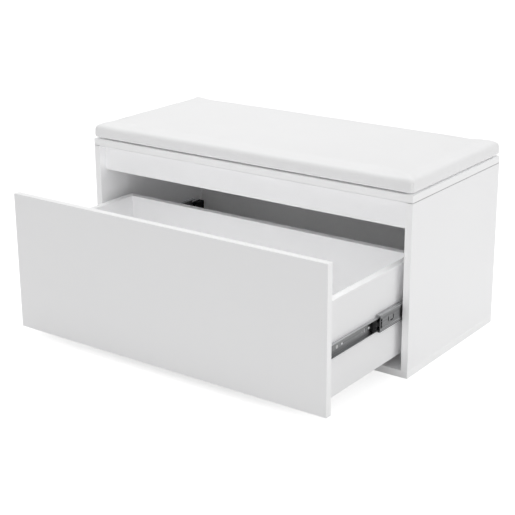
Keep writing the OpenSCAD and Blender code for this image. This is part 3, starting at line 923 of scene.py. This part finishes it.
@dataclass(frozen=True)
class Inflation:
    """Settings of the cloth simulation that blows the cover up.

    Attributes:
        frames: Length of the simulation.
        quality: Solver steps in a frame.
        pressure: Pressure inside the cover.
        mass: Mass of a point, in kilograms.
        stretch: Resistance to stretch and to squash.
        shear: Resistance to shear.
        bending: Resistance to bending.
        damping: Damping by the air.
        cap: How far a point may move.
        give: Share of an inward or sideways move that the foam lets through.
    """

    frames: int = 20
    quality: int = 6
    pressure: float = 4.0
    mass: float = 0.35
    stretch: float = 40.0
    shear: float = 20.0
    bending: float = 6.0
    damping: float = 4.0
    cap: float = 4 * MM
    give: float = 0.15

    def run(self, piece: bpy.types.Object, fixed: list[int]) -> None:
        """Simulates the cloth and applies the result.

        Args:
            piece: The cover.
            fixed: Points that stay where they are.
        """
        held = piece.vertex_groups.new(name="held")
        held.add(fixed, 1.0, "REPLACE")
        cloth = piece.modifiers.new("cloth", "CLOTH")
        rules = cloth.settings
        rules.quality = self.quality
        rules.mass = self.mass
        rules.tension_stiffness = rules.compression_stiffness = self.stretch
        rules.shear_stiffness = self.shear
        rules.bending_stiffness = self.bending
        rules.air_damping = self.damping
        rules.use_pressure = True
        rules.uniform_pressure_force = self.pressure
        rules.vertex_group_mass = "held"
        rules.effector_weights.gravity = 0.0
        cloth.point_cache.frame_start, cloth.point_cache.frame_end = 1, self.frames
        scene = bpy.context.scene
        for number in range(1, self.frames + 1):
            scene.frame_set(number)
            bpy.context.view_layer.update()
        bake_modifiers(piece)
        scene.frame_set(1)

    def apply(self, piece: bpy.types.Object, fixed: list[int]) -> None:
        """Blows the cover up and keeps the moves small.

        Args:
            piece: The cover.
            fixed: Points that stay where they are.
        """
        start = [(vert.co.copy(), vert.normal.copy()) for vert in piece.data.vertices]
        self.run(piece, fixed)
        reach = 0.0
        for vert, (home, outward) in zip(piece.data.vertices, start):
            move = vert.co - home
            reach = max(reach, move.length)
            rise = move.dot(outward)
            along = (move - outward * rise) * self.give
            move = outward * (rise if rise > 0 else rise * self.give) + along
            vert.co = home + move.normalized() * min(move.length, self.cap)
        log.info("cushion cover moved up to %.1f mm", reach / MM)


@dataclass(frozen=True)
class Creases:
    """Sizes of the folds that the leather shows.

    Attributes:
        pull_depth: Depth of the faint pulls along the edges.
        pull_reach: How far the pulls run in from an edge.
        pull_scale: Pulls in a metre along X, Y and Z.
        swell_depth: Depth of the broad swells of the seat.
        swell_scale: Swells in a metre along X, Y and Z.
        groove_depth: Depth of a corner's pleat.
        groove_width: Half width of the pleat.
        lap_height: Height of the lap beside the pleat.
        lap_width: Half width of the lap.
        lap_place: Distance of the lap from the pleat.
        overrun: How far the pleat runs past the corner's rounding.
        onset: How fast the pleat deepens towards the corner.
    """

    pull_depth: float = 0.5 * MM
    pull_reach: float = 26 * MM
    pull_scale: tuple[float, float, float] = (26.0, 26.0, 9.0)
    swell_depth: float = 0.7 * MM
    swell_scale: tuple[float, float, float] = (5.0, 7.0, 0.0)
    groove_depth: float = 1.1 * MM
    groove_width: float = 1.1 * MM
    lap_height: float = 0.5 * MM
    lap_width: float = 2.0 * MM
    lap_place: float = 2.4 * MM
    overrun: float = 2 * MM
    onset: float = 1.3


@dataclass
class Cushion:
    """The padded seat: a leather cover that is inflated over its foam.

    Attributes:
        palette: The finishes.
        body: The body it rides on.
        pitch: Spacing of the cover's mesh in the middle.
        edge_round: Radius of the rounded upper edge.
        foot_round: How far the sides tuck in at the foot.
        corner: Radius of the corners, seen from above.
        patch: Side of the square that a corner is rounded in.
        shrink: How much smaller the cover starts before it is inflated.
        hem: Width of the hem under the base board.
        lip: How far the hem's inner edge turns up.
        held: Height below which the simulation moves no point.
        steps: Distances of the dense grid lines from an edge, in millimetres.
        wall_rows: Rings down the side.
        foot_rows: Rings round the foot.
        hem_shares: Places of the rings across the hem.
        fill: How full the cover is, from slack at 0 to tight at 1; not used.
        inflation: The cloth simulation.
        creases: The folds.
    """

    palette: Palette
    body: str = "cushion"
    pitch: float = 8 * MM
    edge_round: float = 10 * MM
    foot_round: float = 5 * MM
    corner: float = 9 * MM
    patch: float = 30 * MM
    shrink: float = 0.6 * MM
    hem: float = 30 * MM
    lip: float = 1.2 * MM
    held: float = 6 * MM
    steps: tuple[float, ...] = (0.0, 0.4, 1.4, 2.9, 4.9, 7.3, 10.0, 14.5, 21.0, 30.0)
    wall_rows: int = 4
    foot_rows: int = 3
    hem_shares: tuple[float, ...] = (0.35, 0.7, 0.97, 1.0)
    fill: float = 0.9
    inflation: Inflation = Inflation()
    creases: Creases = Creases()

    def lines(self, half: float) -> list[float]:
        """Places grid lines along one axis, dense near both ends.

        Args:
            half: Half of the cover's length on that axis.

        Returns:
            The places, from the negative end to the positive one.
        """
        near = [step * MM for step in self.steps]
        inner = 2 * (half - near[-1])
        count = max(2, round(inner / self.pitch))
        middle = [-inner / 2 + inner * i / count for i in range(1, count)]
        ends = [half - step for step in near]
        return [-end for end in ends] + middle + ends[::-1]

    def rounded(self, x: float, y: float, half_x: float, half_y: float) -> tuple[float, float]:
        """Maps a point of the square grid into the outline with rounded corners.

        Args:
            x: Place along X.
            y: Place along Y.
            half_x: Half length of the outline.
            half_y: Half width of the outline.

        Returns:
            The mapped point.
        """
        a = (abs(x) - (half_x - self.patch)) / self.patch
        b = (abs(y) - (half_y - self.patch)) / self.patch
        if a <= 0 or b <= 0:
            return x, y
        ring, share = max(a, b), min(a, b) / max(a, b)
        radius = self.corner / self.patch
        straight = 1 - radius
        if share <= straight:
            long, short = 1.0, share
        else:
            turn = (share - straight) / radius * math.pi / 4
            long, short = straight + radius * math.cos(turn), straight + radius * math.sin(turn)
        long, short = long * ring, short * ring
        a, b = (long, short) if a >= b else (short, long)
        new_x = half_x - self.patch + a * self.patch
        new_y = half_y - self.patch + b * self.patch
        return math.copysign(new_x, x), math.copysign(new_y, y)

    def shell(self, low: Vector, high: Vector) -> tuple[bmesh.types.BMesh, list[int]]:
        """Builds the cover as one closed form, with a hem round an open window below.

        Args:
            low: Lowest corner of the cover.
            high: Highest corner of the cover.

        Returns:
            The shape, and the indices of the points that the simulation may not move.
        """
        mid = (low + high) / 2
        half = Vector(((high.x - low.x) / 2 - self.shrink, (high.y - low.y) / 2 - self.shrink, 0))
        top = high.z - self.shrink
        shape = bmesh.new()
        rim = self.crown(shape, mid, half, top)
        ring, fixed = rim, []
        for height, inset in self.side_rows(low.z, top - self.edge_round):
            lower = []
            for vert in rim:
                away = vert.co - mid
                x = mid.x + away.x * (half.x - inset) / half.x
                y = mid.y + away.y * (half.y - inset) / half.y
                lower.append(shape.verts.new((x, y, height)))
            for k in range(len(rim)):
                n = (k + 1) % len(rim)
                shape.faces.new((ring[n], ring[k], lower[k], lower[n]))
            ring = lower
            if height < low.z + self.held:
                fixed += lower
        window = shape.faces.new(ring[::-1])
        bmesh.ops.triangulate(shape, faces=[window])
        shape.verts.index_update()
        bmesh.ops.recalc_face_normals(shape, faces=shape.faces)
        return shape, [vert.index for vert in fixed]

    def crown(
        self, shape: bmesh.types.BMesh, mid: Vector, half: Vector, top: float
    ) -> list[bmesh.types.BMVert]:
        """Builds the seat down to the end of its rounded edge.

        Args:
            shape: Where the seat goes.
            mid: Middle of the cover.
            half: Half length and half width of the cover.
            top: Height of the seat.

        Returns:
            The points of its rim, in order.
        """
        xs, ys = self.lines(half.x), self.lines(half.y)
        grid = []
        for y in ys:
            row = []
            for x in xs:
                inset = min(half.x - abs(x), half.y - abs(y), self.edge_round)
                drop = self.edge_round - math.sqrt(
                    max(0.0, self.edge_round**2 - (self.edge_round - inset) ** 2)
                )
                px, py = self.rounded(x, y, half.x, half.y)
                row.append(shape.verts.new((px + mid.x, py + mid.y, top - drop)))
            grid.append(row)
        for front, rear in zip(grid, grid[1:]):
            for i in range(len(xs) - 1):
                shape.faces.new((front[i], front[i + 1], rear[i + 1], rear[i]))
        return (
            grid[0][:-1]
            + [row[-1] for row in grid[:-1]]
            + grid[-1][:0:-1]
            + [row[0] for row in grid[:0:-1]]
        )

    def side_rows(self, foot: float, shoulder: float) -> list[tuple[float, float]]:
        """Lists the height and inset of each ring below the rounded upper edge.

        Args:
            foot: Height of the cover's underside.
            shoulder: Height where the upper edge's rounding ends.

        Returns:
            Rings from the shoulder, down the side, under the foot and up into the window.
        """
        tuck = self.foot_round
        wall = shoulder - foot - tuck
        rows = [(shoulder - wall * (i + 1) / self.wall_rows, 0.0) for i in range(self.wall_rows)]
        for i in range(self.foot_rows):
            turn = math.pi / 2 * (i + 1) / self.foot_rows
            rows.append((foot + tuck * (1 - math.sin(turn)), tuck * (1 - math.cos(turn))))
        rows += [(foot, tuck + (self.hem - tuck) * share) for share in self.hem_shares]
        rows.append((foot + self.lip, self.hem))
        return rows

    def settle(self, piece: bpy.types.Object, low: Vector, high: Vector) -> None:
        """Adds the folds that leather shows: corner pleats and faint pulls along the edges.

        Args:
            piece: The cover, after its simulation and subdivision.
            low: Lowest corner of the cover.
            high: Highest corner of the cover.
        """
        folds = self.creases
        mid = (low + high) / 2
        half = (high - low) / 2
        seed = Vector((SEED * 3.1, SEED * 1.7, 0.4))
        normals = [Vector(vert.normal) for vert in piece.data.vertices]
        for vert, outward in zip(piece.data.vertices, normals):
            at = vert.co - Vector((mid.x, mid.y, 0))
            if at.z < low.z + 1 * MM:
                continue
            edge = min(half.x - abs(at.x), half.y - abs(at.y))
            near_edge = math.exp(-max(edge, 0.0) / folds.pull_reach)
            pull = noise.noise(scaled(at, folds.pull_scale) + seed) * folds.pull_depth * near_edge
            swell = noise.noise(scaled(at, folds.swell_scale) + seed * 2) * folds.swell_depth
            above = (1 - near_edge) if at.z > mid.z else 0.0
            vert.co += outward * (pull + swell * above)
            self.pleat(vert, at, half)

    def pleat(self, vert: bpy.types.MeshVertex, at: Vector, half: Vector) -> None:
        """Presses the vertical fold of a corner into the cover.

        Args:
            vert: The point to move.
            at: Its place from the cover's middle, before any fold.
            half: Half length and half width of the cover.
        """
        folds = self.creases
        off_x = abs(at.x) - (half.x - self.corner)
        off_y = abs(at.y) - (half.y - self.corner)
        if min(off_x, off_y) < -folds.overrun:
            return
        along = (off_x - off_y) / math.sqrt(2)
        outward = Vector((math.copysign(1, at.x), math.copysign(1, at.y), 0)).normalized()
        reach = (off_x + off_y) / math.sqrt(2) / self.corner
        fade = max(0.0, min(1.0, reach * folds.onset))
        groove = -folds.groove_depth * math.exp(-((along / folds.groove_width) ** 2))
        lap = folds.lap_height * math.exp(-(((along - folds.lap_place) / folds.lap_width) ** 2))
        vert.co += outward * (groove + lap) * fade

    def build(self) -> bpy.types.Object:
        """Builds the cover and dresses what it holds.

        Returns:
            The cover.
        """
        low, high = (Vector(corner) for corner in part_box("cushion_cover"))
        shape, fixed = self.shell(low, high)
        piece = from_bmesh("cushion_leather", shape)
        self.inflation.apply(piece, fixed)
        finer = piece.modifiers.new("finer", "SUBSURF")
        finer.levels = finer.render_levels = 1
        bake_modifiers(piece)
        self.settle(piece, low, high)
        for face in piece.data.polygons:
            face.use_smooth = True
        piece.data.materials.clear()
        piece.data.materials.append(self.palette["white_leather"])
        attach(piece, self.body)
        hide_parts("cushion_cover", "cushion_foam")
        dress("cushion_base", self.palette["plywood"])
        dress("cushion_staples", self.palette["fastener_steel"])
        dress("loop_pads", self.palette["hook_and_loop"])
        log.info("cushion, %d faces", len(piece.data.polygons))
        return piece


# ---------------------------------------------------------------- studio
@dataclass(frozen=True)
class Camera:
    """The camera.

    Attributes:
        azimuth: Turn round the bench, from straight ahead, in degrees.
        elevation: Downward tilt, in degrees.
        roll: Roll, in degrees.
        place: Where it stands.
        lens: Focal length, in millimetres.
        sensor: Width of the sensor, in millimetres.
        shift: Lens shift along the width and height of the frame.
        clip: Nearest and farthest distance that it sees.
    """

    azimuth: float = 36.04
    elevation: float = 17.9
    roll: float = -0.38
    place: tuple[float, float, float] = (1.504, -2.19, 1.037)
    lens: float = 89.35
    sensor: float = 36.0
    shift: tuple[float, float] = (0.0, -0.05)
    clip: tuple[float, float] = (0.05, 100.0)

    def build(self) -> None:
        """Places the camera and makes it the scene's own."""
        data = bpy.data.cameras.new("camera")
        data.sensor_width, data.lens = self.sensor, self.lens
        data.shift_x, data.shift_y = self.shift
        data.clip_start, data.clip_end = self.clip
        item = bpy.data.objects.new("camera", data)
        bpy.context.scene.collection.objects.link(item)
        item.rotation_mode = "QUATERNION"
        a, e = math.radians(self.azimuth), math.radians(self.elevation)
        back = Vector((math.sin(a) * math.cos(e), -math.cos(a) * math.cos(e), math.sin(e)))
        aim = (-back).to_track_quat("-Z", "Y").to_matrix()
        turn = aim @ Matrix.Rotation(math.radians(self.roll), 3, "Z")
        item.rotation_quaternion = turn.to_quaternion()
        item.location = self.place
        bpy.context.scene.camera = item


@dataclass(frozen=True)
class Lamp:
    """A soft square lamp that faces the seat.

    Attributes:
        name: Name of the lamp.
        place: Where it hangs.
        size: Its side.
        power: Its power, in watts.
        aim: The point that it faces.
    """

    name: str
    place: tuple[float, float, float]
    size: float
    power: float
    aim: tuple[float, float, float] = (0.0, 0.0, 0.25)

    def build(self) -> None:
        """Hangs the lamp."""
        data = bpy.data.lights.new(self.name, "AREA")
        data.shape, data.size, data.energy = "SQUARE", self.size, self.power
        item = bpy.data.objects.new(self.name, data)
        bpy.context.scene.collection.objects.link(item)
        item.location = self.place
        item.rotation_mode = "QUATERNION"
        item.rotation_quaternion = (Vector(self.aim) - Vector(self.place)).to_track_quat("-Z", "Y")


@dataclass
class Studio:
    """Pale floor, soft light and the camera.

    Attributes:
        camera: The camera.
        lamps: The soft lamps.
        floor_size: Side of the floor.
        floor_tone: Grey level of the floor.
        floor_glow: Light that the floor adds where the camera sees it.
        ambient: Strength of the surrounding light.
        backdrop: Brightness of the background where the camera sees it.
    """

    camera: Camera = Camera()
    lamps: tuple[Lamp, ...] = (
        Lamp("overhead", (-0.5, 0.3, 2.6), 1.8, 17.0),
        Lamp("right", (3.1, 0.35, 1.1), 1.4, 9.5),
    )
    floor_size: float = 40.0
    floor_tone: float = 0.92
    floor_glow: float = 0.65
    ambient: float = 0.5
    backdrop: float = 1.0

    def floor(self) -> None:
        """Lays the pale floor."""
        shape = bmesh.new()
        bmesh.ops.create_grid(shape, x_segments=2, y_segments=2, size=self.floor_size / 2)
        piece = from_bmesh("floor", shape)
        shader = Shader("pale_floor")
        tone = self.floor_tone
        shader.fix(Base_Color=(tone, tone, tone, 1.0), Roughness=0.9)
        shader.fix(Emission_Color=(1.0, 1.0, 1.0, 1.0))
        rays = shader.add("ShaderNodeLightPath")
        glow = shader.add("ShaderNodeMath", operation="MULTIPLY")
        glow.inputs[1].default_value = self.floor_glow
        shader.join(rays.outputs["Is Camera Ray"], glow.inputs[0])
        shader.join(glow.outputs[0], shader.bsdf.inputs["Emission Strength"])
        piece.data.materials.append(shader.material)

    def light(self) -> None:
        """Sets the even surrounding light, which the camera sees at the backdrop's brightness."""
        world = bpy.data.worlds.new("studio")
        world.use_nodes = True
        bpy.context.scene.world = world
        tree = world.node_tree
        sky = tree.nodes["Background"]
        sky.inputs["Color"].default_value = (1.0, 1.0, 1.0, 1.0)
        rays = add_node(tree, "ShaderNodeLightPath")
        level = add_node(tree, "ShaderNodeMix", data_type="FLOAT")
        level.inputs["A"].default_value = self.ambient
        level.inputs["B"].default_value = self.backdrop
        tree.links.new(rays.outputs["Is Camera Ray"], level.inputs["Factor"])
        tree.links.new(level.outputs["Result"], sky.inputs["Strength"])

    def tone(self) -> None:
        """Shows plain, unfiltered tones."""
        settings = bpy.context.scene.view_settings
        settings.view_transform = "Standard"
        settings.look = "None"
        settings.exposure = 0.0

    def build(self) -> None:
        """Builds the whole studio."""
        self.camera.build()
        self.floor()
        self.light()
        for lamp in self.lamps:
            lamp.build()
        self.tone()
        log.info("studio with %d lamps", len(self.lamps))


def main() -> None:
    """Builds the bench and its studio in order."""
    palette = Palette()
    Studio().build()
    Carcass(palette).build()
    Drawer(palette).build()
    for side in Side:
        Slide(palette, side).build()
    Cushion(palette).build()


if __name__ == "__main__":
    main()
